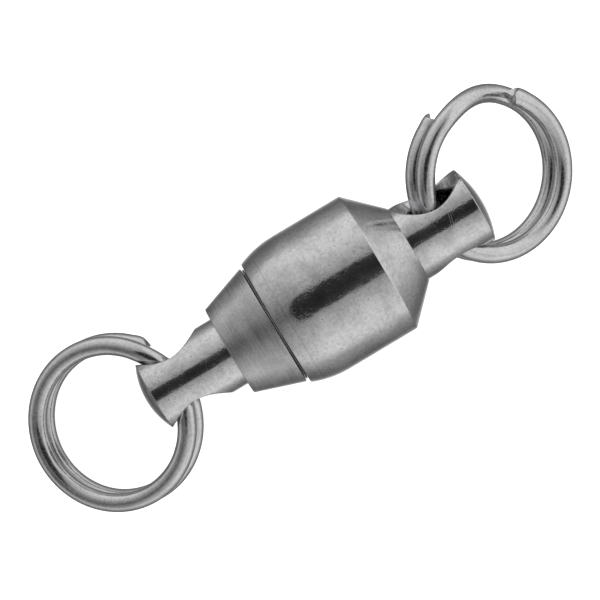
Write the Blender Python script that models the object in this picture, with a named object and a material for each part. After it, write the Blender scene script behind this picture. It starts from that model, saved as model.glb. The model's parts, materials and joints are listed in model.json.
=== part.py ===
"""Ball-bearing swivel with a split ring through each eye, lying on a table.

The swivel axis runs along +X from the rotor eye to the fixed eye, +Z is up and the
table is z = 0. Lengths are written in millimetres and turned into metres on the way in.
Axial positions (x) are counted from the centre of the rotor eye's cross-hole.
"""

import math

import bmesh
import bpy
from mathutils import Matrix, Vector

MM = 0.001

# ---- driving dimensions, millimetres and degrees ----
EYE_SPACING = 30.24  # centre to centre of the two cross-holes
TURNED_SIDES = 48  # flats round every turned piece
HOLE_SIDES = 40  # flats round a cross-hole
DOME_STEPS = 4  # rings of faces in a domed pin end

ROTOR_STEM_R = 3.73
ROTOR_END_X = -3.39
ROTOR_DOME = 0.92

FIXED_STEM_R = 4.055
FIXED_END_X = EYE_SPACING + 3.67
FIXED_DOME = 0.82
FIXED_HOLE_ROLL = 20.6  # the fixed eye's hole leans this far up from horizontal

HOLE_R = 2.65  # both eyes take the same drill
HOLE_STRAIGHT = 2.52  # half-length of the plain bore before it flares
COUNTERSINK_SLOPE = 0.6  # gain in radius per unit of depth
CUTTER_OVERRUN = 0.5

COLLAR_X = 5.37
COLLAR_LENGTH = 5.14
COLLAR_FRONT_R = 4.825
COLLAR_BACK_R = 6.58
COLLAR_EDGE = 0.08

MOUTH_GAP = 0.27
BARREL_X = COLLAR_X + COLLAR_LENGTH + MOUTH_GAP
BARREL_R = 7.68
BARREL_MOUTH_R = 6.855
BARREL_LENGTH = 11.87
OGIVE_LENGTH = 4.07
OGIVE_STEPS = 6
MOUTH_EDGE = 0.1
SWAGE_WALL = 1.2  # wall thickness of the 45 degree end
SWAGE_LAND = 0.06  # flat rim left at the narrow end of the 45 degree cone

LIP_THICKNESS = 1.64
CAVITY_R = 6.0
RUNNING_GAP = 0.07  # round a shaft that turns in a hole
SNUG_GAP = 0.02  # between pieces that are pressed or swaged together

BALL_R = 1.0
BALL_COUNT = 15
BALL_PITCH_R = 4.875
GROOVE_R = 1.03
RACE_DEPTH = 1.08  # axial thickness of a race washer
RACE_STANDOFF = 0.65  # from the balls' centre plane to a race's rim
RACE_INNER_R = 3.95
RACE_OUTER_R = 5.93
GROOVE_STEPS = 5

ROTOR_HEAD_R = 5.8
ROTOR_HEAD_THICKNESS = 2.26
HEAD_CHAMFER = 0.25
THRUST_DISC_R = 5.85
THRUST_DISC_THICKNESS = 1.28
DUST_WASHER_THICKNESS = 0.17
DUST_WASHER_R = 6.3

WIRE_R = 1.0
WIRE_SIDES = 12
RING_R = 8.03  # centre of the wire from the ring's centre
COIL_OFFSET = 1.05  # half the distance between the two coils
TIP_OVERRUN = 7.0  # angle by which each coil's tip runs on past its end of the crossover
WIRE_STEP = 7.5  # angle between sections of the wire

# How each split ring sits in its eye: where its centre is from the hole, along and across
# the swivel axis, its roll about that axis, the angle round the ring of its lower tip, and
# the angle from there back to its upper tip, over which the wire crosses between the coils.
ROTOR_RING_ALONG = -8.78
ROTOR_RING_SIDE = -0.28
ROTOR_RING_ROLL = -1.5
ROTOR_RING_TIP = 44.8
ROTOR_RING_CROSSOVER = 58.0
FIXED_RING_ALONG = 7.12
FIXED_RING_SIDE = 1.10
FIXED_RING_TIP = 106.0
FIXED_RING_CROSSOVER = 68.0
SWING_SEARCH = 40.0  # the ring's swing when it lies on the table is less than this

# ---- places that follow from the dimensions ----
LIP_X = BARREL_X + LIP_THICKNESS
CONE_X = BARREL_X + BARREL_LENGTH
CONE_SUM = CONE_X + BARREL_R  # x + r is constant down the 45 degree cone
SEAT_SUM = CONE_SUM - SWAGE_WALL * math.sqrt(2)
BALL_X = LIP_X + SNUG_GAP + RACE_DEPTH + RACE_STANDOFF
ROTOR_HEAD_X = BALL_X + RACE_STANDOFF + RACE_DEPTH + 2 * SNUG_GAP
ROTOR_HEAD_END = ROTOR_HEAD_X + ROTOR_HEAD_THICKNESS
FIXED_HEAD_X = ROTOR_HEAD_END + THRUST_DISC_THICKNESS + 2 * RUNNING_GAP
ORIGIN = Vector((-EYE_SPACING / 2, 0.0, BARREL_R))
FIXED_EYE = ORIGIN + Vector((EYE_SPACING, 0.0, 0.0))


def steel(name, shade, roughness):
    """A bare metal material of one grey."""
    material = bpy.data.materials.new(name)
    material.use_nodes = True
    surface = material.node_tree.nodes["Principled BSDF"]
    surface.inputs["Base Color"].default_value = (shade, shade, shade * 1.01, 1.0)
    surface.inputs["Metallic"].default_value = 1.0
    surface.inputs["Roughness"].default_value = roughness
    material.diffuse_color = (shade, shade, shade * 1.01, 1.0)
    return material


def add_object(name, mesh_data, place, material):
    """A named, smooth-shaded object from a bmesh in millimetres."""
    bmesh.ops.scale(mesh_data, vec=(MM, MM, MM), verts=mesh_data.verts)
    bmesh.ops.recalc_face_normals(mesh_data, faces=mesh_data.faces)
    mesh = bpy.data.meshes.new(name)
    mesh_data.to_mesh(mesh)
    mesh_data.free()
    mesh.shade_smooth()
    mesh.set_sharp_from_angle(angle=math.radians(30))
    mesh.materials.append(material)
    obj = bpy.data.objects.new(name, mesh)
    bpy.context.collection.objects.link(obj)
    obj.location = place * MM
    return obj


def arc(centre, radius, start, end, steps):
    """Points (x, r) on an arc in a turned profile, both ends included, angles in radians."""
    points = []
    for step in range(steps + 1):
        angle = start + (end - start) * step / steps
        points.append((centre[0] + radius * math.cos(angle), centre[1] + radius * math.sin(angle)))
    return points


def dome(x, radius, height, steps):
    """A domed end from its rim to the axis; height is negative on an end that faces -X."""
    sphere_r = (radius**2 + height**2) / (2 * abs(height))
    middle = x + height - math.copysign(sphere_r, height)
    rim = math.asin(radius / sphere_r)
    points = []
    for step in range(steps + 1):
        angle = rim * (1 - step / steps)
        points.append((middle + math.copysign(sphere_r, height) * math.cos(angle),
                       sphere_r * math.sin(angle)))
    points[-1] = (x + height, 0.0)
    return points


def turned(profile, closed, sides):
    """A body of revolution about X whose flats, one of them straight down, touch each radius.

    An open profile starts and ends on the axis; a closed one goes round a bore.
    """
    shape = bmesh.new()
    reach = 1 / math.cos(math.pi / sides)
    rings = []
    for x, r in profile:
        if r == 0:
            rings.append([shape.verts.new((x, 0, 0))] * sides)
            continue
        ring = []
        for side in range(sides):
            angle = 2 * math.pi * (side + 0.5) / sides - math.pi / 2
            ring.append(shape.verts.new((x, r * reach * math.cos(angle), r * reach * math.sin(angle))))
        rings.append(ring)
    pairs = list(zip(rings, rings[1:]))
    if closed:
        pairs.append((rings[-1], rings[0]))
    for one, two in pairs:
        for side in range(sides):
            after = (side + 1) % sides
            corners = [one[side], one[after], two[after], two[side]]
            shape.faces.new(list(dict.fromkeys(corners)))
    return shape


def cut_cross_hole(pin, name, centre, roll, stem_r):
    """Drill the eye's hole, flared at both mouths, along Y and rolled about X."""
    reach = stem_r + CUTTER_OVERRUN
    mouth = HOLE_R + COUNTERSINK_SLOPE * (reach - HOLE_STRAIGHT)
    profile = [(-reach, 0.0), (-reach, mouth), (-HOLE_STRAIGHT, HOLE_R)]
    profile += [(HOLE_STRAIGHT, HOLE_R), (reach, mouth), (reach, 0.0)]
    cutter = add_object(name, turned(profile, False, HOLE_SIDES), centre, pin.data.materials[0])
    along_y = Matrix.Rotation(math.radians(90), 4, "Z")
    turn = Matrix.Rotation(math.radians(roll), 4, "X") @ along_y
    cutter.rotation_euler = turn.to_euler()
    cutter.hide_render = True
    cutter.display_type = "WIRE"
    drill = pin.modifiers.new("cross hole", "BOOLEAN")
    drill.operation = "DIFFERENCE"
    drill.solver = "EXACT"
    drill.object = cutter


def barrel(material):
    """Casing: a lip at the mouth, an ogive, a plain body and an end swaged to 45 degrees."""
    drop = BARREL_R - BARREL_MOUTH_R
    ogive_r = (OGIVE_LENGTH**2 + drop**2) / (2 * drop)
    centre = (BARREL_X + OGIVE_LENGTH, BARREL_R - ogive_r)
    start = math.pi / 2 + math.asin((OGIVE_LENGTH - MOUTH_EDGE) / ogive_r)
    lip_bore = ROTOR_STEM_R + RUNNING_GAP
    end_bore = FIXED_STEM_R + SNUG_GAP
    profile = [(BARREL_X, lip_bore), (BARREL_X, BARREL_MOUTH_R - MOUTH_EDGE)]
    profile += arc(centre, ogive_r, start, math.pi / 2, OGIVE_STEPS)
    rim = end_bore + SWAGE_LAND
    profile += [(CONE_X, BARREL_R), (CONE_SUM - rim, rim), (CONE_SUM - rim, end_bore)]
    profile += [(SEAT_SUM - end_bore, end_bore), (SEAT_SUM - CAVITY_R, CAVITY_R)]
    profile += [(LIP_X, CAVITY_R), (LIP_X, lip_bore)]
    return add_object("barrel_shell", turned(profile, True, TURNED_SIDES), ORIGIN, material)


def fixed_pin(material):
    """Headed pin held in the barrel's 45 degree end, with the fixed eye through its stem."""
    head_r = CAVITY_R - SNUG_GAP
    cone_sum = SEAT_SUM - SNUG_GAP * math.sqrt(2)
    profile = [(FIXED_HEAD_X, 0.0), (FIXED_HEAD_X, head_r - HEAD_CHAMFER)]
    profile += [(FIXED_HEAD_X + HEAD_CHAMFER, head_r), (cone_sum - head_r, head_r)]
    profile += [(cone_sum - FIXED_STEM_R, FIXED_STEM_R)]
    profile += dome(FIXED_END_X, FIXED_STEM_R, FIXED_DOME, DOME_STEPS)
    pin = add_object("fixed_eye_pin", turned(profile, False, TURNED_SIDES), ORIGIN, material)
    cut_cross_hole(pin, "fixed_hole_cutter", FIXED_EYE, FIXED_HOLE_ROLL, FIXED_STEM_R)


def rotor_pin(material):
    """Headed pin that turns on the balls, with the rotor eye through its stem."""
    end = ROTOR_HEAD_END
    profile = dome(ROTOR_END_X, ROTOR_STEM_R, -ROTOR_DOME, DOME_STEPS)[::-1]
    profile += [(ROTOR_HEAD_X, ROTOR_STEM_R), (ROTOR_HEAD_X, ROTOR_HEAD_R)]
    profile += [(end - HEAD_CHAMFER, ROTOR_HEAD_R), (end, ROTOR_HEAD_R - HEAD_CHAMFER), (end, 0.0)]
    pin = add_object("rotor_eye_pin", turned(profile, False, TURNED_SIDES), ORIGIN, material)
    cut_cross_hole(pin, "rotor_hole_cutter", ORIGIN, 0.0, ROTOR_STEM_R)


def collar(material):
    """Cone-shaped collar pressed on the rotor pin, nearly closing the barrel's mouth."""
    bore = ROTOR_STEM_R + SNUG_GAP
    back = COLLAR_X + COLLAR_LENGTH
    profile = [(COLLAR_X, bore), (COLLAR_X, COLLAR_FRONT_R - COLLAR_EDGE)]
    profile += [(COLLAR_X + COLLAR_EDGE, COLLAR_FRONT_R), (back - COLLAR_EDGE, COLLAR_BACK_R)]
    profile += [(back, COLLAR_BACK_R - COLLAR_EDGE), (back, bore)]
    add_object("cone_collar", turned(profile, True, TURNED_SIDES), ORIGIN, material)


def flat_ring(name, start, end, inner, outer, material):
    """A plain washer between two planes square to the swivel axis."""
    profile = [(start, inner), (start, outer), (end, outer), (end, inner)]
    add_object(name, turned(profile, True, TURNED_SIDES), ORIGIN, material)


def race(name, facing, inner, material):
    """A race washer whose ball groove faces +X (facing = 1) or -X (facing = -1)."""
    rim_x = BALL_X - facing * RACE_STANDOFF
    back_x = rim_x - facing * RACE_DEPTH
    half = math.acos(RACE_STANDOFF / GROOVE_R)
    middle = math.pi if facing > 0 else 0.0
    groove = arc((BALL_X, BALL_PITCH_R), GROOVE_R, middle + facing * half,
                 middle - facing * half, GROOVE_STEPS)
    profile = [(rim_x, inner)] + groove + [(rim_x, RACE_OUTER_R)]
    profile += [(back_x, RACE_OUTER_R), (back_x, inner)]
    add_object(name, turned(profile, True, TURNED_SIDES), ORIGIN, material)


def balls(material):
    """A full complement of loose balls in the groove between the two races."""
    for number in range(BALL_COUNT):
        shape = bmesh.new()
        bmesh.ops.create_uvsphere(shape, u_segments=14, v_segments=8, radius=BALL_R)
        angle = 2 * math.pi * number / BALL_COUNT
        spot = Vector((BALL_X, BALL_PITCH_R * math.cos(angle), BALL_PITCH_R * math.sin(angle)))
        ball = add_object(f"ball_{number + 1:02d}", shape, ORIGIN + spot, material)
        ball.data.shade_smooth()


def wire_centre(turn, crossover):
    """Centre of the wire, turn degrees round from the end of the crossover, in the ring's own frame."""
    into = min(max(turn - (360 - crossover), 0.0), crossover)
    height = -COIL_OFFSET * math.cos(math.pi * into / crossover)
    angle = math.radians(turn)
    return Vector((RING_R * math.cos(angle), RING_R * math.sin(angle), height))


def split_ring_shape(crossover):
    """Two coils of round wire joined by one crossover, both tips cut square."""
    shape = bmesh.new()
    length = 720 - crossover + 2 * TIP_OVERRUN
    count = round(length / WIRE_STEP)
    sections = []
    for number in range(count + 1):
        turn = length * number / count - TIP_OVERRUN
        centre = wire_centre(turn, crossover)
        ahead = wire_centre(turn + 0.5, crossover)
        along = (ahead - wire_centre(turn - 0.5, crossover)).normalized()
        outward = Vector((centre.x, centre.y, 0.0)).normalized()
        across = along.cross(outward).normalized()
        outward = across.cross(along)
        section = []
        for side in range(WIRE_SIDES):
            angle = 2 * math.pi * side / WIRE_SIDES
            spoke = outward * math.cos(angle) + across * math.sin(angle)
            section.append(shape.verts.new(centre + spoke * WIRE_R))
        sections.append(section)
    for one, two in zip(sections, sections[1:]):
        for side in range(WIRE_SIDES):
            after = (side + 1) % WIRE_SIDES
            shape.faces.new([one[side], one[after], two[after], two[side]])
    shape.faces.new(sections[0][::-1])
    shape.faces.new(sections[-1])
    return shape


def lie_on_table(eye, hinge, sense, points):
    """The swing about the hinge, in radians, that brings the lowest of the points to z = 0."""
    low = 0.0
    high = math.radians(SWING_SEARCH)
    for _ in range(40):
        middle = (low + high) / 2
        turn = Matrix.Rotation(sense * middle, 3, hinge)
        if min((turn @ point).z for point in points) + eye.z > 0:
            low = middle
        else:
            high = middle
    return sense * low


def split_ring(name, eye, hinge, sense, along, side, roll, tip, crossover, material):
    """One split ring threaded through an eye, swung down on the hinge until it lies on the table."""
    shape = split_ring_shape(crossover)
    seat = Matrix.Rotation(math.radians(roll), 4, "X") @ Matrix.Translation((along, side, 0))
    seat = seat @ Matrix.Rotation(math.radians(tip), 4, "Z")
    bmesh.ops.transform(shape, matrix=seat, verts=shape.verts)
    swing = lie_on_table(eye, hinge, sense, [v.co.copy() for v in shape.verts])
    ring = add_object(name, shape, eye, material)
    ring.rotation_euler = Matrix.Rotation(swing, 3, hinge).to_euler()


def build():
    """Clear the scene and build every piece of the swivel."""
    for obj in list(bpy.data.objects):
        bpy.data.objects.remove(obj)
    body_steel = steel("tumbled steel", 0.55, 0.3)
    collar_steel = steel("turned steel", 0.5, 0.4)
    wire_steel = steel("ring wire steel", 0.6, 0.22)
    bearing_steel = steel("bearing steel", 0.65, 0.12)
    polymer = bpy.data.materials.new("washer polymer")
    polymer.use_nodes = True
    polymer.node_tree.nodes["Principled BSDF"].inputs["Base Color"].default_value = (0.3, 0.3, 0.31, 1)
    polymer.node_tree.nodes["Principled BSDF"].inputs["Roughness"].default_value = 0.6

    barrel(body_steel)
    fixed_pin(body_steel)
    rotor_pin(body_steel)
    collar(collar_steel)
    washer_x = BARREL_X - (MOUTH_GAP - DUST_WASHER_THICKNESS) / 2
    flat_ring("dust_washer", washer_x - DUST_WASHER_THICKNESS, washer_x,
              ROTOR_STEM_R + RUNNING_GAP, DUST_WASHER_R, polymer)
    disc_x = ROTOR_HEAD_END + RUNNING_GAP
    disc = [(disc_x, 0.0), (disc_x, THRUST_DISC_R)]
    disc += [(disc_x + THRUST_DISC_THICKNESS, THRUST_DISC_R), (disc_x + THRUST_DISC_THICKNESS, 0.0)]
    add_object("thrust_disc", turned(disc, False, TURNED_SIDES), ORIGIN, polymer)
    race("housing_race", 1, RACE_INNER_R, bearing_steel)
    race("rotor_race", -1, ROTOR_STEM_R + RUNNING_GAP, bearing_steel)
    balls(bearing_steel)

    rotor_hinge = Vector((0.0, 1.0, 0.0))
    lean = math.radians(FIXED_HOLE_ROLL)
    fixed_hinge = Vector((0.0, math.cos(lean), math.sin(lean)))
    split_ring("rotor_split_ring", ORIGIN, rotor_hinge, -1, ROTOR_RING_ALONG,
               ROTOR_RING_SIDE, ROTOR_RING_ROLL, ROTOR_RING_TIP, ROTOR_RING_CROSSOVER, wire_steel)
    split_ring("fixed_split_ring", FIXED_EYE, fixed_hinge, 1, FIXED_RING_ALONG,
               FIXED_RING_SIDE, FIXED_HOLE_ROLL, FIXED_RING_TIP, FIXED_RING_CROSSOVER, wire_steel)


build()
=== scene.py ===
"""Looks of the ball-bearing swivel: tumbled steel, a fine-turned collar and two bright split rings.

Lengths are in millimetres until a piece is finished, and metres from there on. Profiles of
turned pieces are (x, r): x along the swivel axis from the rotor eye's cross-hole, r from the
axis. The swivel axis is +X, the table is z = 0.
"""

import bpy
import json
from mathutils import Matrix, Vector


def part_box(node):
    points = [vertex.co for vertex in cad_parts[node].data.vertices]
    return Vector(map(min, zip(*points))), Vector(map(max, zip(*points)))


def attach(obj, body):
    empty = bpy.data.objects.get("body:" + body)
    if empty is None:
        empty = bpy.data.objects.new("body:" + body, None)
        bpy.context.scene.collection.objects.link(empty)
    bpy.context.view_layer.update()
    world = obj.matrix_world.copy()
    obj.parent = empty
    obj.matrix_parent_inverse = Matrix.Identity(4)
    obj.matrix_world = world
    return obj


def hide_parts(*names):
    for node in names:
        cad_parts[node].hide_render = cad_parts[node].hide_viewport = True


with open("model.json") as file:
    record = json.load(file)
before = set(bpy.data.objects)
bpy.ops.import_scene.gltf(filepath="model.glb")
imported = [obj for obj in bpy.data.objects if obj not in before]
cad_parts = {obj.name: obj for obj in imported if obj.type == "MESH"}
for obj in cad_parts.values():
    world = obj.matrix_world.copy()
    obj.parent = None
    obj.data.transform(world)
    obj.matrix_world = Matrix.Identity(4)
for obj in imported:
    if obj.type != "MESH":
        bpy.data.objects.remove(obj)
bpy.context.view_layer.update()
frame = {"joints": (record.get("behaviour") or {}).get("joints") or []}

import json
import math

import bmesh
import bpy
from mathutils import Matrix, Vector, noise

MM = 0.001

# ---- places taken from the frame ----
JOINTS = {joint["name"]: joint for joint in frame["joints"]}
ROTOR_EYE = Vector(JOINTS["rotor_ring_swing"]["pos_m"]) / MM
FIXED_EYE = Vector(JOINTS["fixed_ring_swing"]["pos_m"]) / MM
ROTOR_HINGE = Vector(JOINTS["rotor_ring_swing"]["axis"])
FIXED_HINGE = Vector(JOINTS["fixed_ring_swing"]["axis"])
BARREL_R = ROTOR_EYE.z  # the barrel lies on the table
BARREL_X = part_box("barrel_shell")[0].x / MM - ROTOR_EYE.x
COLLAR_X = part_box("cone_collar")[0].x / MM - ROTOR_EYE.x
COLLAR_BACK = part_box("cone_collar")[1].x / MM - ROTOR_EYE.x
ROTOR_TIP_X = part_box("rotor_eye_pin")[0].x / MM - ROTOR_EYE.x
FIXED_TIP_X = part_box("fixed_eye_pin")[1].x / MM - ROTOR_EYE.x
WASHER_BOX = [corner.x / MM - ROTOR_EYE.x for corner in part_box("dust_washer")]
THRUST_BOX = [corner.x / MM - ROTOR_EYE.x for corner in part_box("thrust_disc")]

# ---- turned shapes ----
ROTOR_STEM_R = 3.73
ROTOR_DOME = 0.92
FIXED_STEM_R = 4.055
FIXED_DOME = 0.82
COLLAR_FRONT_R = 4.825
COLLAR_BACK_R = 6.58
BARREL_MOUTH_R = 6.855
BARREL_LENGTH = 11.87
OGIVE_LENGTH = 4.07
SWAGE_WALL = 1.2
SWAGE_LAND = 0.1
LIP_THICKNESS = 1.64
CAVITY_R = 6.0
RUNNING_GAP = 0.07
SNUG_GAP = 0.02
ROTOR_HEAD_R = 5.8
ROTOR_HEAD_THICKNESS = 2.26
THRUST_DISC_R = 5.85
DUST_WASHER_R = 6.3

# ---- bearing ----
BALL_R = 1.0
BALL_COUNT = 15
BALL_PITCH_R = 4.875
GROOVE_R = 1.03
RACE_DEPTH = 1.08
RACE_STANDOFF = 0.65
RACE_INNER_R = 3.95
RACE_OUTER_R = 5.93

# ---- cross-holes ----
HOLE_R = 2.65
HOLE_STRAIGHT = 2.52
COUNTERSINK_SLOPE = 0.6
MOUTH_ROUNDING = 0.32
MOUTH_LIFT = 1.2

# ---- split rings ----
WIRE_R = 0.975
RING_R = 8.03
COIL_OFFSET = 1.05
WIRE_UNEVENNESS = 0.004
TIP_OVERRUN = 7.0  # degrees by which each tip runs on past its end of the crossover
ROTOR_RING = {"along": -8.78, "side": -0.28, "roll": -1.5, "tip": 42.0, "crossover": 58.0,
              "nips": ((0.3, 0.5, 1.7, -0.2, -0.3), (0.3, 0.42, 1.0, 0.02, 0.0))}
FIXED_RING = {"along": 7.12, "side": 1.10, "roll": 20.6, "tip": 106.0, "crossover": 68.0,
              "nips": ((0.5, 0.55, 1.1, 0.6, 0.4), (0.3, 0.42, 1.1, 0.02, 0.0))}
SWING_SEARCH = 40.0

# ---- fineness of the meshes ----
TURNED_SIDES = 256
AXIAL_STEP = 0.3
WIRE_SIDES = 40
WIRE_STEP = 2.0
HOLE_SIDES = 144
ROUNDING_STEP = 12.0  # degrees
TIP_SECTIONS = 7  # how many sections of wire a nip reaches back over

# ---- places that follow ----
LIP_X = BARREL_X + LIP_THICKNESS
CONE_X = BARREL_X + BARREL_LENGTH
CONE_SUM = CONE_X + BARREL_R
SEAT_SUM = CONE_SUM - SWAGE_WALL * math.sqrt(2)
BALL_X = LIP_X + SNUG_GAP + RACE_DEPTH + RACE_STANDOFF
ROTOR_HEAD_X = BALL_X + RACE_STANDOFF + RACE_DEPTH + 2 * SNUG_GAP
ROTOR_HEAD_END = ROTOR_HEAD_X + ROTOR_HEAD_THICKNESS
FIXED_HEAD_X = THRUST_BOX[1] + RUNNING_GAP


# ======================= mesh tools =======================


def finish_piece(name, shape, body, material, replaced, sharp=40.0):
    """Turn a bmesh in millimetres into a named piece that rides on a body."""
    bmesh.ops.scale(shape, vec=(MM, MM, MM), verts=shape.verts)
    bmesh.ops.recalc_face_normals(shape, faces=shape.faces)
    mesh = bpy.data.meshes.new(name)
    shape.to_mesh(mesh)
    shape.free()
    mesh.shade_smooth()
    mesh.set_sharp_from_angle(angle=math.radians(sharp))
    mesh.materials.append(material)
    piece = bpy.data.objects.new(name, mesh)
    bpy.context.scene.collection.objects.link(piece)
    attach(piece, body)
    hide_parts(replaced)
    return piece


def rounded(corners, closed):
    """Profile points from (x, r, rounding) corners, each corner rounded to its own radius."""
    points = []
    for number, (x, r, radius) in enumerate(corners):
        here = Vector((x, r))
        at_end = not closed and number in (0, len(corners) - 1)
        if radius == 0 or at_end:
            points.append(here)
            continue
        back = (Vector(corners[number - 1][:2]) - here).normalized()
        ahead = (Vector(corners[(number + 1) % len(corners)][:2]) - here).normalized()
        half = back.angle(ahead) / 2
        centre = here + (back + ahead).normalized() * (radius / math.sin(half))
        start = here + back * (radius / math.tan(half)) - centre
        end = here + ahead * (radius / math.tan(half)) - centre
        turn = start.angle_signed(end)
        steps = max(2, math.ceil(math.degrees(abs(turn)) / ROUNDING_STEP))
        for step in range(steps + 1):
            angle = -turn * step / steps
            spoke = Matrix.Rotation(angle, 2) @ start
            points.append(centre + spoke)
    return points


def subdivided(points, closed, step):
    """The same profile with long straight stretches split into steps."""
    pairs = list(zip(points, points[1:]))
    if closed:
        pairs.append((points[-1], points[0]))
    result = []
    for one, two in pairs:
        count = max(1, math.ceil((two - one).length / step))
        result += [one.lerp(two, part / count) for part in range(count)]
    if not closed:
        result.append(points[-1])
    return result


def arc(centre, radius, start, end, steps):
    """Corners (x, r, 0) on an arc, both ends included, angles in radians."""
    points = []
    for step in range(steps + 1):
        angle = start + (end - start) * step / steps
        points.append((centre[0] + radius * math.cos(angle), centre[1] + radius * math.sin(angle), 0))
    return points


def turned(corners, closed, unevenness=0.0):
    """A body of revolution about the swivel axis, placed in the row frame.

    unevenness is how far the surface wanders from true, as tumbled steel does.
    """
    profile = subdivided(rounded(corners, closed), closed, AXIAL_STEP)
    shape = bmesh.new()
    rings = []
    for point in profile:
        x, r = point
        if r < 1e-6:
            rings.append([shape.verts.new(ROTOR_EYE + Vector((x, 0, 0)))] * TURNED_SIDES)
            continue
        ring = []
        for side in range(TURNED_SIDES):
            angle = 2 * math.pi * side / TURNED_SIDES
            out = Vector((0, math.cos(angle), math.sin(angle)))
            spot = Vector((x, 0, 0)) + out * r
            wander = -unevenness * abs(noise.noise(spot * 0.7))
            ring.append(shape.verts.new(ROTOR_EYE + spot + out * wander))
        rings.append(ring)
    pairs = list(zip(rings, rings[1:]))
    if closed:
        pairs.append((rings[-1], rings[0]))
    for one, two in pairs:
        for side in range(TURNED_SIDES):
            after = (side + 1) % TURNED_SIDES
            corners_here = [one[side], one[after], two[after], two[side]]
            shape.faces.new(list(dict.fromkeys(corners_here)))
    return shape


def dome(x, radius, height, rounding, steps):
    """Corners of a domed end from its rim to the axis; height is negative facing -X."""
    sphere_r = (radius**2 + height**2) / (2 * abs(height))
    middle = x + height - math.copysign(sphere_r, height)
    rim = math.asin(radius / sphere_r)
    points = [(x, radius, rounding)]
    for step in range(2, steps + 1):
        angle = rim * (1 - step / steps)
        points.append((middle + math.copysign(sphere_r, height) * math.cos(angle),
                       sphere_r * math.sin(angle), 0))
    points[-1] = (x + height, 0.0, 0)
    return points


def mouth_section(stem_r, direction):
    """Half of the drill's outline in one direction round the hole: (out from its axis, along it).

    It runs up the bore and the countersink and rolls over onto the stem's round surface.
    """
    across = math.sin(direction)
    low, high = 0.0, stem_r
    for _ in range(40):
        middle = (low + high) / 2
        reach = HOLE_R + COUNTERSINK_SLOPE * max(middle - HOLE_STRAIGHT, 0.0)
        if middle**2 + (across * reach) ** 2 < stem_r**2:
            low = middle
        else:
            high = middle
    edge = Vector((HOLE_R + COUNTERSINK_SLOPE * max(low - HOLE_STRAIGHT, 0.0), low))
    surface = Vector((edge.y, -edge.x * across**2)).normalized()
    foot = Vector((HOLE_R, HOLE_STRAIGHT))
    flare = edge - foot
    if flare.length > MOUTH_ROUNDING:
        start = edge - flare.normalized() * MOUTH_ROUNDING
    else:
        start = foot - Vector((0, MOUTH_ROUNDING - flare.length))
    end = edge + surface * MOUTH_ROUNDING
    points = [Vector((HOLE_R, y)) for y in (0.0, 0.7, 1.4)]
    turning = Vector((HOLE_R, min(HOLE_STRAIGHT, start.y) - 0.15))
    points += [turning.lerp(start, part) for part in (0.0, 0.3, 0.6, 0.85)]
    for step in range(12):
        t = step / 12
        points.append(start * (1 - t) ** 2 + edge * (2 * t * (1 - t)) + end * t**2)
    onward = (points[-1] - points[-2]).normalized()
    points.append(points[-1] + onward * 0.5)
    points.append(points[-1] + Vector((0.2, MOUTH_LIFT)))
    return points


def drill(shape_object, eye, hinge, stem_r):
    """Cut the eye's hole, countersunk and rolled over at both mouths, through a pin."""
    side = Vector((1, 0, 0)).cross(hinge).normalized()
    cutter = bmesh.new()
    columns = []
    for number in range(HOLE_SIDES):
        direction = 2 * math.pi * number / HOLE_SIDES
        out = Vector((1, 0, 0)) * math.cos(direction) + side * math.sin(direction)
        half = mouth_section(stem_r, direction)
        outline = [(p.x, -p.y) for p in half[:0:-1]] + [(p.x, p.y) for p in half]
        columns.append([cutter.verts.new((eye + out * r + hinge * y) * MM) for r, y in outline])
    for number, one in enumerate(columns):
        two = columns[(number + 1) % HOLE_SIDES]
        for row in range(len(one) - 1):
            cutter.faces.new([one[row], one[row + 1], two[row + 1], two[row]])
    ends = [[column[0] for column in columns][::-1], [column[-1] for column in columns]]
    for rim in ends:
        middle = sum((vert.co for vert in rim), Vector()) / HOLE_SIDES
        hub = cutter.verts.new(middle)
        for number, vert in enumerate(rim):
            cutter.faces.new([vert, rim[(number + 1) % HOLE_SIDES], hub])
    bmesh.ops.recalc_face_normals(cutter, faces=cutter.faces)
    mesh = bpy.data.meshes.new("drill")
    cutter.to_mesh(mesh)
    cutter.free()
    tool = bpy.data.objects.new("drill", mesh)
    bpy.context.scene.collection.objects.link(tool)
    cut = shape_object.modifiers.new("cross hole", "BOOLEAN")
    cut.operation = "DIFFERENCE"
    cut.solver = "EXACT"
    cut.object = tool
    graph = bpy.context.evaluated_depsgraph_get()
    result = bpy.data.meshes.new_from_object(shape_object.evaluated_get(graph))
    shape_object.modifiers.clear()
    shape_object.data = result
    bpy.data.objects.remove(tool)
    result.shade_smooth()
    result.set_sharp_from_angle(angle=math.radians(35))


# ======================= materials =======================


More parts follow.
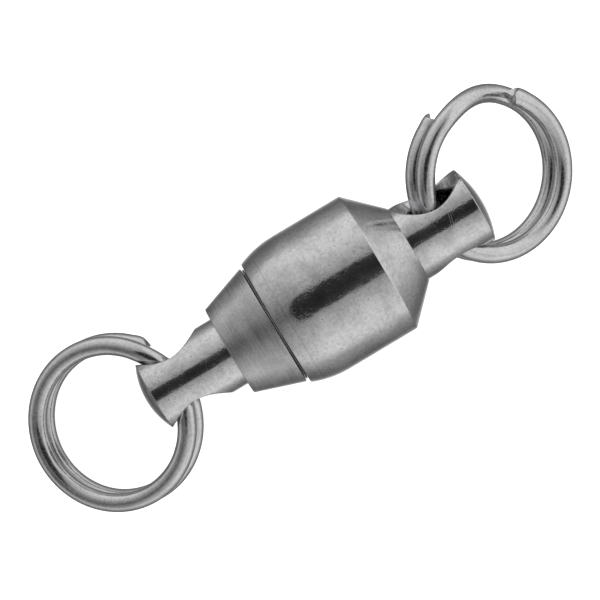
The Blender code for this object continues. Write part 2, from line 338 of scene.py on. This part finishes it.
class Surface:
    """A metal or plastic material built from a few procedural layers."""

    def __init__(self, name, metallic, roughness, shade):
        self.material = bpy.data.materials.new(name)
        self.material.use_nodes = True
        self.tree = self.material.node_tree
        self.shader = self.tree.nodes["Principled BSDF"]
        self.shader.inputs["Metallic"].default_value = metallic
        self.shader.inputs["Roughness"].default_value = roughness
        self.shader.inputs["Base Color"].default_value = (*shade, 1.0)
        self.place = self.node("ShaderNodeTexCoord").outputs["Object"]

    def node(self, kind, **settings):
        made = self.tree.nodes.new(kind)
        for key, value in settings.items():
            setattr(made, key, value)
        return made

    def feed(self, socket, value):
        """Set a socket, or link it when the value is another node's output."""
        if isinstance(value, bpy.types.NodeSocket):
            self.tree.links.new(value, socket)
        else:
            socket.default_value = value

    def math(self, operation, one, two=0.0, clamp=False):
        made = self.node("ShaderNodeMath", operation=operation, use_clamp=clamp)
        self.feed(made.inputs[0], one)
        self.feed(made.inputs[1], two)
        return made.outputs[0]

    def scaled(self, vector, per_mm):
        """Coordinates in metres scaled so that one unit is 1 / per_mm millimetres."""
        made = self.node("ShaderNodeVectorMath", operation="MULTIPLY")
        self.feed(made.inputs[0], vector)
        made.inputs[1].default_value = [value / MM for value in per_mm]
        return made.outputs[0]

    def noise(self, per_mm, detail=3.0, vector=None, distortion=0.0):
        """Smooth random values; per_mm is how many bumps there are in a millimetre, by axis."""
        if not hasattr(per_mm, "__len__"):
            per_mm = (per_mm,) * 3
        made = self.node("ShaderNodeTexNoise")
        self.feed(made.inputs["Vector"], self.scaled(vector or self.place, per_mm))
        made.inputs["Scale"].default_value = 1.0
        made.inputs["Detail"].default_value = detail
        made.inputs["Distortion"].default_value = distortion
        return made.outputs["Fac"]

    def hairs(self, per_mm, count):
        """Hair scratches: 1 on thin wandering lines, 0 elsewhere, broken into short runs.

        A larger count draws more lines through each bump of the noise that they follow.
        """
        lines = self.noise(per_mm, 1.0, distortion=0.3)
        cut = self.math("PINGPONG", self.math("MULTIPLY", lines, count), 0.5)
        line = self.ranged(cut, 0.0, 0.03, 1.0, 0.0)
        runs = self.ranged(self.noise(0.9, 2.0), 0.54, 0.6, 0.0, 1.0)
        return self.math("MULTIPLY", line, runs)

    def position(self):
        """The place on the piece as separate x, y and z in millimetres."""
        split = self.node("ShaderNodeSeparateXYZ")
        self.feed(split.inputs[0], self.scaled(self.place, (1, 1, 1)))
        return split.outputs

    def line(self, x, lean, width):
        """1 on a line round the swivel at x mm, leaning by lean mm of x per mm of y; 0 elsewhere."""
        along, side, _ = self.position()
        offset = self.math("SUBTRACT", along, x)
        offset = self.math("SUBTRACT", offset, self.math("MULTIPLY", side, lean))
        return self.ranged(self.math("ABSOLUTE", offset), 0.0, width, 1.0, 0.0)

    def span(self, low, high):
        """1 on the top side where y is between low and high mm, fading out over a tenth."""
        _, side, up = self.position()
        inside = self.math("MULTIPLY", self.ranged(side, low, low + 0.1, 0.0, 1.0),
                           self.ranged(side, high - 0.1, high, 1.0, 0.0))
        top = self.ranged(up, BARREL_R, BARREL_R + 0.1, 0.0, 1.0)
        return self.math("MULTIPLY", inside, top)

    def ranged(self, value, low, high, to_low, to_high):
        """The value's range low..high mapped smoothly to to_low..to_high."""
        made = self.node("ShaderNodeMapRange", interpolation_type="SMOOTHSTEP")
        self.feed(made.inputs["Value"], value)
        ends = {"From Min": low, "From Max": high, "To Min": to_low, "To Max": to_high}
        for name, number in ends.items():
            made.inputs[name].default_value = number
        return made.outputs["Result"]

    def tinted(self, value, dark, light):
        """A colour between dark and light."""
        made = self.node("ShaderNodeMix", data_type="RGBA")
        self.feed(made.inputs[0], value)
        made.inputs[6].default_value = (*dark, 1.0)
        made.inputs[7].default_value = (*light, 1.0)
        return made.outputs[2]

    def relief(self, height, depth_mm):
        """Bump whose height of 1 is depth_mm millimetres."""
        made = self.node("ShaderNodeBump")
        made.inputs["Strength"].default_value = 1.0
        made.inputs["Distance"].default_value = depth_mm * MM
        self.feed(made.inputs["Height"], height)
        self.feed(self.shader.inputs["Normal"], made.outputs["Normal"])


def grey(value, cool=1.012):
    """A steel grey, very slightly cold."""
    return (value, value, value * cool)


def tumbled_steel(name, ring_marks=(), scratches=()):
    """Stainless steel tumbled in stone: mottled sheen, pits, hair scratches, a trace of its turning."""
    s = Surface(name, 1.0, 0.16, grey(0.58))
    patch = s.noise(0.42, 4.0)
    grain = s.noise(2.6, 4.0)
    fine = s.noise(9.0, 3.0)
    turning = s.noise((5.0, 0.35, 0.35), 3.0)
    pits = s.ranged(s.noise(5.0, 2.0), 0.6, 0.7, 0.0, 1.0)
    pits = s.math("MULTIPLY", pits, s.ranged(patch, 0.44, 0.58, 0.15, 1.0))
    hairs = s.math("MAXIMUM", s.hairs((0.7, 0.16, 0.7), 3.0), s.hairs((0.14, 0.6, 0.3), 11.0))
    shade = s.math("ADD", s.math("MULTIPLY", grain, 0.36), s.math("MULTIPLY", patch, 0.5))
    shade = s.math("ADD", shade, s.math("MULTIPLY", turning, 0.14))
    shade = s.math("SUBTRACT", shade, s.math("MULTIPLY", pits, 0.5))
    shade = s.math("SUBTRACT", shade, s.math("MULTIPLY", hairs, 0.12))
    for x in ring_marks:
        mark = s.math("MULTIPLY", s.line(x, 0.0, 0.08), s.ranged(grain, 0.4, 0.6, 0.2, 1.0))
        shade = s.math("SUBTRACT", shade, s.math("MULTIPLY", mark, 0.3))
    s.feed(s.shader.inputs["Base Color"], s.tinted(s.ranged(shade, 0.3, 0.64, 0, 1), grey(0.46), grey(0.71)))
    rough = s.ranged(s.math("ADD", patch, s.math("MULTIPLY", fine, 0.3)), 0.45, 0.85, 0.08, 0.17)
    rough = s.math("ADD", rough, s.math("MULTIPLY", pits, 0.06))
    rough = s.math("ADD", rough, s.math("MULTIPLY", hairs, 0.06))
    for x, lean, low, high in scratches:
        scratch = s.math("MULTIPLY", s.line(x, lean, 0.045), s.span(low, high))
        rough = s.math("ADD", rough, s.math("MULTIPLY", scratch, 0.4))
    s.feed(s.shader.inputs["Roughness"], rough)
    dings = s.ranged(s.noise(3.6, 2.0), 0.54, 0.64, 0.0, 1.0)
    dings = s.math("MULTIPLY", dings, s.ranged(s.noise(0.5, 2.0), 0.42, 0.56, 0.25, 1.0))
    height = s.math("ADD", s.math("MULTIPLY", s.noise(2.2, 1.5), 0.45), s.noise(0.9, 1.5))
    height = s.math("ADD", height, s.math("MULTIPLY", turning, 0.05))
    height = s.math("SUBTRACT", height, s.math("MULTIPLY", dings, 0.42))
    height = s.math("SUBTRACT", height, s.math("MULTIPLY", pits, 0.1))
    height = s.math("SUBTRACT", height, s.math("MULTIPLY", hairs, 0.14))
    s.relief(height, 0.009)
    return s.material


def turned_steel(name):
    """Fine-turned steel: feed marks that run round the axis, softened by tumbling."""
    s = Surface(name, 1.0, 0.3, grey(0.52))
    lines = s.noise((9.0, 0.25, 0.25), 3.0)
    broad = s.noise((1.2, 0.2, 0.2), 2.0)
    patch = s.noise(0.5, 4.0)
    grain = s.noise(4.0, 3.0)
    pits = s.ranged(s.noise(6.0, 2.0), 0.6, 0.7, 0.0, 1.0)
    shade = s.math("ADD", s.math("MULTIPLY", lines, 0.34), s.math("MULTIPLY", broad, 0.16))
    shade = s.math("ADD", shade, s.math("MULTIPLY", patch, 0.42))
    shade = s.math("ADD", shade, s.math("MULTIPLY", grain, 0.2))
    shade = s.math("SUBTRACT", shade, s.math("MULTIPLY", pits, 0.2))
    s.feed(s.shader.inputs["Base Color"], s.tinted(s.ranged(shade, 0.4, 0.72, 0, 1), grey(0.42), grey(0.63)))
    s.feed(s.shader.inputs["Roughness"], s.ranged(s.math("ADD", patch, lines), 0.7, 1.3, 0.2, 0.32))
    height = s.math("ADD", s.math("MULTIPLY", lines, 0.35), s.math("MULTIPLY", grain, 0.35))
    height = s.math("SUBTRACT", height, s.math("MULTIPLY", pits, 0.3))
    s.relief(height, 0.007)
    return s.material


def wire_steel(name):
    """Bright drawn wire: die lines along the wire, small nicks, otherwise polished."""
    s = Surface(name, 1.0, 0.14, grey(0.62))
    uv = s.node("ShaderNodeUVMap", uv_map="along the wire").outputs["UV"]
    lines = s.noise((0.08, 7.0, 1.0), 2.0, vector=uv)
    patch = s.noise(0.5, 3.0)
    grain = s.noise(3.4, 3.0)
    nicks = s.ranged(s.noise(4.0, 2.0), 0.62, 0.72, 0.0, 1.0)
    shade = s.math("ADD", s.math("MULTIPLY", grain, 0.4), s.math("MULTIPLY", patch, 0.3))
    shade = s.math("ADD", shade, s.math("MULTIPLY", lines, 0.3))
    shade = s.math("SUBTRACT", shade, s.math("MULTIPLY", nicks, 0.25))
    s.feed(s.shader.inputs["Base Color"], s.tinted(s.ranged(shade, 0.3, 0.7, 0, 1), grey(0.52), grey(0.74)))
    s.feed(s.shader.inputs["Roughness"], s.ranged(s.math("ADD", patch, grain), 0.75, 1.2, 0.11, 0.22))
    height = s.math("ADD", s.math("MULTIPLY", lines, 0.2), s.math("MULTIPLY", grain, 0.5))
    height = s.math("SUBTRACT", height, s.math("MULTIPLY", nicks, 0.4))
    s.relief(height, 0.007)
    return s.material


def bearing_steel(name):
    """Ground and polished bearing steel."""
    s = Surface(name, 1.0, 0.08, grey(0.66))
    patch = s.noise(1.2, 3.0)
    s.feed(s.shader.inputs["Base Color"], s.tinted(patch, grey(0.58), grey(0.7)))
    s.feed(s.shader.inputs["Roughness"], s.ranged(s.noise(6.0, 2.0), 0.3, 0.7, 0.05, 0.14))
    s.relief(s.noise(7.0, 2.0), 0.001)
    return s.material


def washer_polymer(name):
    """Plain grey acetal with a moulded skin."""
    s = Surface(name, 0.0, 0.5, grey(0.08))
    s.feed(s.shader.inputs["Base Color"], s.tinted(s.noise(1.5, 3.0), grey(0.05), grey(0.1)))
    s.feed(s.shader.inputs["Roughness"], s.ranged(s.noise(5.0, 2.0), 0.3, 0.7, 0.42, 0.6))
    s.relief(s.noise(6.0, 3.0), 0.004)
    return s.material


# ======================= pieces =======================


def barrel_shell(material):
    drop = BARREL_R - BARREL_MOUTH_R
    ogive_r = (OGIVE_LENGTH**2 + drop**2) / (2 * drop)
    centre = (BARREL_X + OGIVE_LENGTH, BARREL_R - ogive_r)
    start = math.pi / 2 + math.asin((OGIVE_LENGTH - 0.02) / ogive_r)
    lip_bore = ROTOR_STEM_R + RUNNING_GAP
    end_bore = FIXED_STEM_R + SNUG_GAP
    rim = end_bore + SWAGE_LAND
    corners = [(BARREL_X, lip_bore, 0.15), (BARREL_X, BARREL_MOUTH_R - 0.01, 0.09)]
    corners += arc(centre, ogive_r, start, math.pi / 2, 20)[1:]
    corners += [(CONE_X, BARREL_R, 0.28), (CONE_SUM - rim, rim, 0.06), (CONE_SUM - rim, end_bore, 0)]
    corners += [(SEAT_SUM - end_bore, end_bore, 0.1), (SEAT_SUM - CAVITY_R, CAVITY_R, 0.2)]
    corners += [(LIP_X, CAVITY_R, 0.2), (LIP_X, lip_bore, 0.15)]
    finish_piece("barrel_steel", turned(corners, True, 0.006), "housing",
                 material, "barrel_shell", 30)


def fixed_eye_pin(material):
    head_r = CAVITY_R - SNUG_GAP
    cone_sum = SEAT_SUM - SNUG_GAP * math.sqrt(2)
    corners = [(FIXED_HEAD_X, 0.0, 0), (FIXED_HEAD_X, head_r, 0.25)]
    corners += [(cone_sum - head_r, head_r, 0.15), (cone_sum - FIXED_STEM_R, FIXED_STEM_R, 0.15)]
    corners += dome(FIXED_TIP_X - FIXED_DOME, FIXED_STEM_R, FIXED_DOME, 0.13, 16)
    piece = finish_piece("fixed_pin_steel", turned(corners, False, 0.005), "housing",
                         material, "fixed_eye_pin", 30)
    drill(piece, FIXED_EYE, FIXED_HINGE, FIXED_STEM_R)


def rotor_eye_pin(material):
    end = ROTOR_HEAD_END
    corners = dome(ROTOR_TIP_X + ROTOR_DOME, ROTOR_STEM_R, -ROTOR_DOME, 0.13, 16)[::-1]
    corners += [(ROTOR_HEAD_X, ROTOR_STEM_R, 0.2), (ROTOR_HEAD_X, ROTOR_HEAD_R, 0.2)]
    corners += [(end, ROTOR_HEAD_R, 0.25), (end, 0.0, 0)]
    piece = finish_piece("rotor_pin_steel", turned(corners, False, 0.005), "rotor",
                         material, "rotor_eye_pin", 30)
    drill(piece, ROTOR_EYE, ROTOR_HINGE, ROTOR_STEM_R)


def cone_collar(material):
    bore = ROTOR_STEM_R + SNUG_GAP
    corners = [(COLLAR_X, bore, 0.05), (COLLAR_X, COLLAR_FRONT_R, 0.1)]
    corners += [(COLLAR_BACK, COLLAR_BACK_R, 0.15), (COLLAR_BACK, bore, 0.05)]
    finish_piece("collar_steel", turned(corners, True, 0.003), "rotor",
                 material, "cone_collar", 30)


def washer(name, span, inner, outer, rounding, body, material, replaced):
    corners = [(span[0], inner, rounding), (span[0], outer, rounding)]
    corners += [(span[1], outer, rounding), (span[1], inner, rounding)]
    finish_piece(name, turned(corners, True), body, material, replaced, 50)


def thrust_disc(material):
    front, back = THRUST_BOX
    corners = [(front, 0.0, 0), (front, THRUST_DISC_R, 0.15), (back, THRUST_DISC_R, 0.15), (back, 0.0, 0)]
    finish_piece("thrust_disc_puck", turned(corners, False), "housing", material,
                 "thrust_disc", 50)


def race(name, facing, body, material, replaced):
    """A race washer whose ball groove faces +X (facing = 1) or -X (facing = -1)."""
    rim_x = BALL_X - facing * RACE_STANDOFF
    back_x = rim_x - facing * RACE_DEPTH
    half = math.acos(RACE_STANDOFF / GROOVE_R)
    middle = math.pi if facing > 0 else 0.0
    groove = arc((BALL_X, BALL_PITCH_R), GROOVE_R, middle + facing * half, middle - facing * half, 14)
    corners = [(rim_x, RACE_INNER_R, 0.08)] + groove + [(rim_x, RACE_OUTER_R, 0.08)]
    corners += [(back_x, RACE_OUTER_R, 0.12), (back_x, RACE_INNER_R, 0.12)]
    finish_piece(name, turned(corners, True), body, material, replaced, 30)


def balls(material):
    for number in range(BALL_COUNT):
        shape = bmesh.new()
        bmesh.ops.create_icosphere(shape, subdivisions=4, radius=BALL_R)
        angle = 2 * math.pi * number / BALL_COUNT
        spot = Vector((BALL_X, BALL_PITCH_R * math.cos(angle), BALL_PITCH_R * math.sin(angle)))
        bmesh.ops.translate(shape, vec=ROTOR_EYE + spot, verts=shape.verts)
        finish_piece(f"bearing_ball_{number + 1:02d}", shape, "ball_train", material,
                     f"ball_{number + 1:02d}", 180)


def wire_centre(turn, crossover):
    """Centre of the wire, turn degrees round from the end of the crossover, in the ring's own frame."""
    into = min(max(turn - (360 - crossover), 0.0), crossover)
    height = -COIL_OFFSET * math.cos(math.pi * into / crossover)
    angle = math.radians(turn)
    return Vector((RING_R * math.cos(angle), RING_R * math.sin(angle), height))


def nipped(across, above, ridge, inner_slope, outer_slope, back, lean):
    """How far a nipped tip stands back from the end of the wire; negative is further on.

    across runs from -1 inside the ring to 1 outside, above from -1 to 1 along the ring's axis.
    The ridge stands back by back, and lean tilts it.
    """
    slope = outer_slope if across > ridge else inner_slope
    return slope * abs(across - ridge) + back + lean * above


def split_ring_shape(crossover, nips):
    """Two coils of round wire with one crossover, both tips nipped to a blunt wedge."""
    shape = bmesh.new()
    uv_layer = shape.loops.layers.uv.new("along the wire")
    length = 720 - crossover + 2 * TIP_OVERRUN
    count = round(length / WIRE_STEP)
    turns = [length * number / count - TIP_OVERRUN for number in range(count + 1)]
    sections = []
    lengths = []
    for number, turn in enumerate(turns):
        centre = wire_centre(turn, crossover)
        along = (wire_centre(turn + 0.5, crossover) - wire_centre(turn - 0.5, crossover)).normalized()
        outward = Vector((centre.x, centre.y, 0.0)).normalized()
        across = along.cross(outward).normalized()
        outward = across.cross(along)
        section = []
        for side in range(WIRE_SIDES):
            angle = 2 * math.pi * side / WIRE_SIDES
            spoke = outward * math.cos(angle) + across * math.sin(angle)
            spot = centre + spoke * WIRE_R
            spot += spoke * WIRE_UNEVENNESS * noise.noise(spot * 0.9)
            section.append(shape.verts.new(spot))
        sections.append(section)
        lengths.append(RING_R * math.radians(turn))
    shorten_tip(sections, nips[0])
    shorten_tip(sections[::-1], nips[1])
    for number in range(count):
        one, two = sections[number], sections[number + 1]
        for side in range(WIRE_SIDES):
            after = (side + 1) % WIRE_SIDES
            face = shape.faces.new([one[side], one[after], two[after], two[side]])
            along_wire = (lengths[number], lengths[number], lengths[number + 1], lengths[number + 1])
            around = (side, side + 1, side + 1, side)
            for loop, u, v in zip(face.loops, along_wire, around):
                loop[uv_layer].uv = (u * MM, 2 * math.pi * WIRE_R * v / WIRE_SIDES * MM)
    for section in (sections[0][::-1], sections[-1]):
        close_tip(shape, section)
    return shape


def shorten_tip(sections, nip):
    """Push the vertices of the last sections back along the wire so that the end is nipped."""
    tip = sections[0]
    middle = sum((vert.co for vert in tip), Vector()) / WIRE_SIDES
    inward = sum((vert.co for vert in sections[1]), Vector()) / WIRE_SIDES - middle
    inward.normalize()
    outward = Vector((middle.x, middle.y, 0)).normalized()
    for depth, section in enumerate(sections[:TIP_SECTIONS]):
        share = 1 - depth / TIP_SECTIONS
        for vert in section:
            across = (vert.co - middle).dot(outward) / WIRE_R
            above = (vert.co - middle).z / WIRE_R
            vert.co += inward * nipped(across, above, *nip) * share


def close_tip(shape, section):
    """A tip's end face: a narrow rounded edge, then a flat of small faces to its middle."""
    ring = section
    middle = sum((vert.co for vert in ring), Vector()) / WIRE_SIDES
    for shrink in (0.96, 0.75, 0.5, 0.25):
        inner = [shape.verts.new(middle.lerp(vert.co, shrink)) for vert in section]
        for side in range(WIRE_SIDES):
            after = (side + 1) % WIRE_SIDES
            shape.faces.new([ring[side], ring[after], inner[after], inner[side]])
        ring = inner
    hub = shape.verts.new(middle)
    for side in range(WIRE_SIDES):
        shape.faces.new([ring[side], ring[(side + 1) % WIRE_SIDES], hub])


def lie_on_table(eye, hinge, sense, points):
    """The swing about the hinge, in radians, that brings the lowest of the points to z = 0."""
    low = 0.0
    high = math.radians(SWING_SEARCH)
    for _ in range(30):
        middle = (low + high) / 2
        turn = Matrix.Rotation(sense * middle, 3, hinge)
        if min((turn @ point).z for point in points) + eye.z > 0:
            low = middle
        else:
            high = middle
    return sense * low


def split_ring(name, eye, hinge, sense, fit, body, material, replaced):
    """A split ring threaded through an eye and swung down until it lies on the table."""
    shape = split_ring_shape(fit["crossover"], fit["nips"])
    seat = Matrix.Rotation(math.radians(fit["roll"]), 4, "X")
    seat = seat @ Matrix.Translation((fit["along"], fit["side"], 0))
    seat = seat @ Matrix.Rotation(math.radians(fit["tip"]), 4, "Z")
    bmesh.ops.transform(shape, matrix=seat, verts=shape.verts)
    swing = lie_on_table(eye, hinge, sense, [vert.co.copy() for vert in shape.verts])
    place = Matrix.Translation(eye) @ Matrix.Rotation(swing, 4, hinge)
    bmesh.ops.transform(shape, matrix=place, verts=shape.verts)
    finish_piece(name, shape, body, material, replaced, 35)


# ======================= studio =======================

TENT_R = 0.8
FLOOR_GLOW = 0.62  # the floor is a light table, which keeps the shadow on it faint
FLOOR_DROP = 0.03
VIEW_CENTRE = (-1.086, 0.766)
VIEW_HEIGHT = 355.0
VIEW_WIDTH = 60.0
VIEW_LEAN = 30.9
OPENING_HALF = (0.42, 0.305)  # sine of the dark opening's half-angle along and across the swivel


def light_tent():
    """A tent round the object, seen only in its reflections: bright sides, dark lens opening on top."""
    shape = bmesh.new()
    bmesh.ops.create_uvsphere(shape, u_segments=64, v_segments=32, radius=TENT_R)
    mesh = bpy.data.meshes.new("light_tent")
    shape.to_mesh(mesh)
    shape.free()
    mesh.shade_smooth()
    tent = bpy.data.objects.new("light_tent", mesh)
    tent.location = (0, 0, BARREL_R * MM)
    bpy.context.scene.collection.objects.link(tent)
    s = Surface("tent cloth", 0.0, 1.0, (0, 0, 0))
    toward = s.node("ShaderNodeVectorMath", operation="NORMALIZE")
    s.feed(toward.inputs[0], s.place)
    split = s.node("ShaderNodeSeparateXYZ")
    s.feed(split.inputs[0], toward.outputs[0])
    x, y, z = split.outputs
    sides = s.math("POWER", s.math("ABSOLUTE", y), 1.2)
    upper = s.math("ADD", s.math("MULTIPLY", sides, 0.74), 0.2)
    glow = s.math("MAXIMUM", s.ranged(z, 0.02, 0.45, 1.0, 0.0), s.ranged(x, 0.45, 0.75, 0.0, 1.0))
    upper = s.math("ADD", s.math("MULTIPLY", upper, s.math("SUBTRACT", 1.0, glow)),
                   s.math("MULTIPLY", glow, 0.9))
    lower = s.node("ShaderNodeValToRGB")
    s.feed(lower.inputs[0], s.math("MULTIPLY", z, -1.0))
    ramp = lower.color_ramp
    stops = ((0.0, 0.9), (0.25, 0.5), (0.47, 0.32), (0.64, 0.22), (0.77, 0.17), (0.88, 0.2), (1.0, 0.75))
    ramp.elements[0].position, ramp.elements[0].color = stops[0][0], (*grey(stops[0][1], 1), 1)
    ramp.elements[1].position, ramp.elements[1].color = stops[-1][0], (*grey(stops[-1][1], 1), 1)
    for position, level in stops[1:-1]:
        element = ramp.elements.new(position)
        element.color = (*grey(level, 1), 1)
    above = s.ranged(z, -0.02, 0.02, 0.0, 1.0)
    level = s.math("ADD", s.math("MULTIPLY", upper, above),
                   s.math("MULTIPLY", lower.outputs[0], s.math("SUBTRACT", 1.0, above)))
    far_end = s.math("MAXIMUM", s.math("MULTIPLY", x, -1.0), 0.0)
    level = s.math("MULTIPLY", level, s.math("SUBTRACT", 1.0, s.math("MULTIPLY", far_end, 0.35)))
    spread = s.math("ADD", s.math("POWER", s.math("DIVIDE", s.math("ABSOLUTE", x), OPENING_HALF[0]), 5.0),
                    s.math("POWER", s.math("DIVIDE", s.math("ABSOLUTE", y), OPENING_HALF[1]), 2.0))
    cloth = s.ranged(spread, 0.9, 1.12, 0.13, 1.0)
    cloth = s.math("MAXIMUM", cloth, s.ranged(z, 0.0, 0.05, 1.0, 0.0))
    level = s.math("MULTIPLY", level, cloth)
    glowing = s.node("ShaderNodeEmission")
    s.feed(glowing.inputs["Strength"], level)
    s.tree.links.new(glowing.outputs[0], s.tree.nodes["Material Output"].inputs["Surface"])
    s.material.cycles.emission_sampling = "NONE"
    mesh.materials.append(s.material)
    tent.visible_camera = False
    tent.visible_diffuse = False
    tent.visible_shadow = False


def studio():
    """Pale floor, soft light from everywhere and a large soft lamp above."""
    shape = bmesh.new()
    bmesh.ops.create_grid(shape, x_segments=1, y_segments=1, size=3.0)
    mesh = bpy.data.meshes.new("floor")
    shape.to_mesh(mesh)
    shape.free()
    floor = bpy.data.objects.new("floor", mesh)
    floor.location.z = -FLOOR_DROP * MM
    bpy.context.scene.collection.objects.link(floor)
    s = Surface("pale floor", 0.0, 0.9, (0.86, 0.86, 0.86))
    s.shader.inputs["Emission Color"].default_value = (1, 1, 1, 1)
    s.shader.inputs["Emission Strength"].default_value = FLOOR_GLOW
    mesh.materials.append(s.material)
    floor.visible_glossy = False

    world = bpy.data.worlds.new("soft light")
    world.use_nodes = True
    world.node_tree.nodes["Background"].inputs["Color"].default_value = (1, 1, 1, 1)
    world.node_tree.nodes["Background"].inputs["Strength"].default_value = 0.75
    bpy.context.scene.world = world

    lamp_data = bpy.data.lights.new("overhead softbox", "AREA")
    lamp_data.shape = "DISK"
    lamp_data.size = 1.4
    lamp_data.energy = 9.0
    lamp = bpy.data.objects.new("overhead softbox", lamp_data)
    lamp.location = (-0.15, 0.25, 0.9)
    lamp.rotation_euler = (Vector((0, 0, 0)) - lamp.location).to_track_quat("-Z", "Y").to_euler()
    lamp.visible_glossy = False
    bpy.context.scene.collection.objects.link(lamp)


def camera():
    """Straight down on the swivel, which leans across the view."""
    lens = bpy.data.cameras.new("camera")
    lens.sensor_width = 36.0
    lens.lens = lens.sensor_width * VIEW_HEIGHT / VIEW_WIDTH
    eye = bpy.data.objects.new("camera", lens)
    eye.location = Vector((*VIEW_CENTRE, BARREL_R + VIEW_HEIGHT)) * MM
    eye.rotation_euler = (0, 0, math.radians(-VIEW_LEAN))
    bpy.context.scene.collection.objects.link(eye)
    bpy.context.scene.camera = eye


# ======================= build =======================

mouth_x = ROTOR_EYE.x + BARREL_X
barrel_surface = tumbled_steel("tumbled stainless steel, barrel", ring_marks=(mouth_x + 1.3,))
fixed_surface = tumbled_steel("tumbled stainless steel, fixed pin",
                              scratches=((15.72, 0.27, -1.5, 1.1), (15.95, 0.24, -1.0, 0.5)))
rotor_surface = tumbled_steel("tumbled stainless steel, rotor pin")
collar_steel = turned_steel("fine-turned stainless steel")
ring_steel = wire_steel("bright drawn wire")
polished = bearing_steel("ground bearing steel")
polymer = washer_polymer("grey acetal")

barrel_shell(barrel_surface)
fixed_eye_pin(fixed_surface)
rotor_eye_pin(rotor_surface)
cone_collar(collar_steel)
washer("dust_washer_ring", WASHER_BOX, ROTOR_STEM_R + RUNNING_GAP, DUST_WASHER_R, 0.04, "rotor",
       polymer, "dust_washer")
thrust_disc(polymer)
race("housing_race_ring", 1, "housing", polished, "housing_race")
race("rotor_race_ring", -1, "rotor", polished, "rotor_race")
balls(polished)
split_ring("rotor_ring_wire", ROTOR_EYE, ROTOR_HINGE, -1, ROTOR_RING, "rotor_ring", ring_steel,
           "rotor_split_ring")
split_ring("fixed_ring_wire", FIXED_EYE, FIXED_HINGE, 1, FIXED_RING, "fixed_ring", ring_steel,
           "fixed_split_ring")
light_tent()
studio()
camera()
bpy.context.scene.view_settings.view_transform = "Standard"
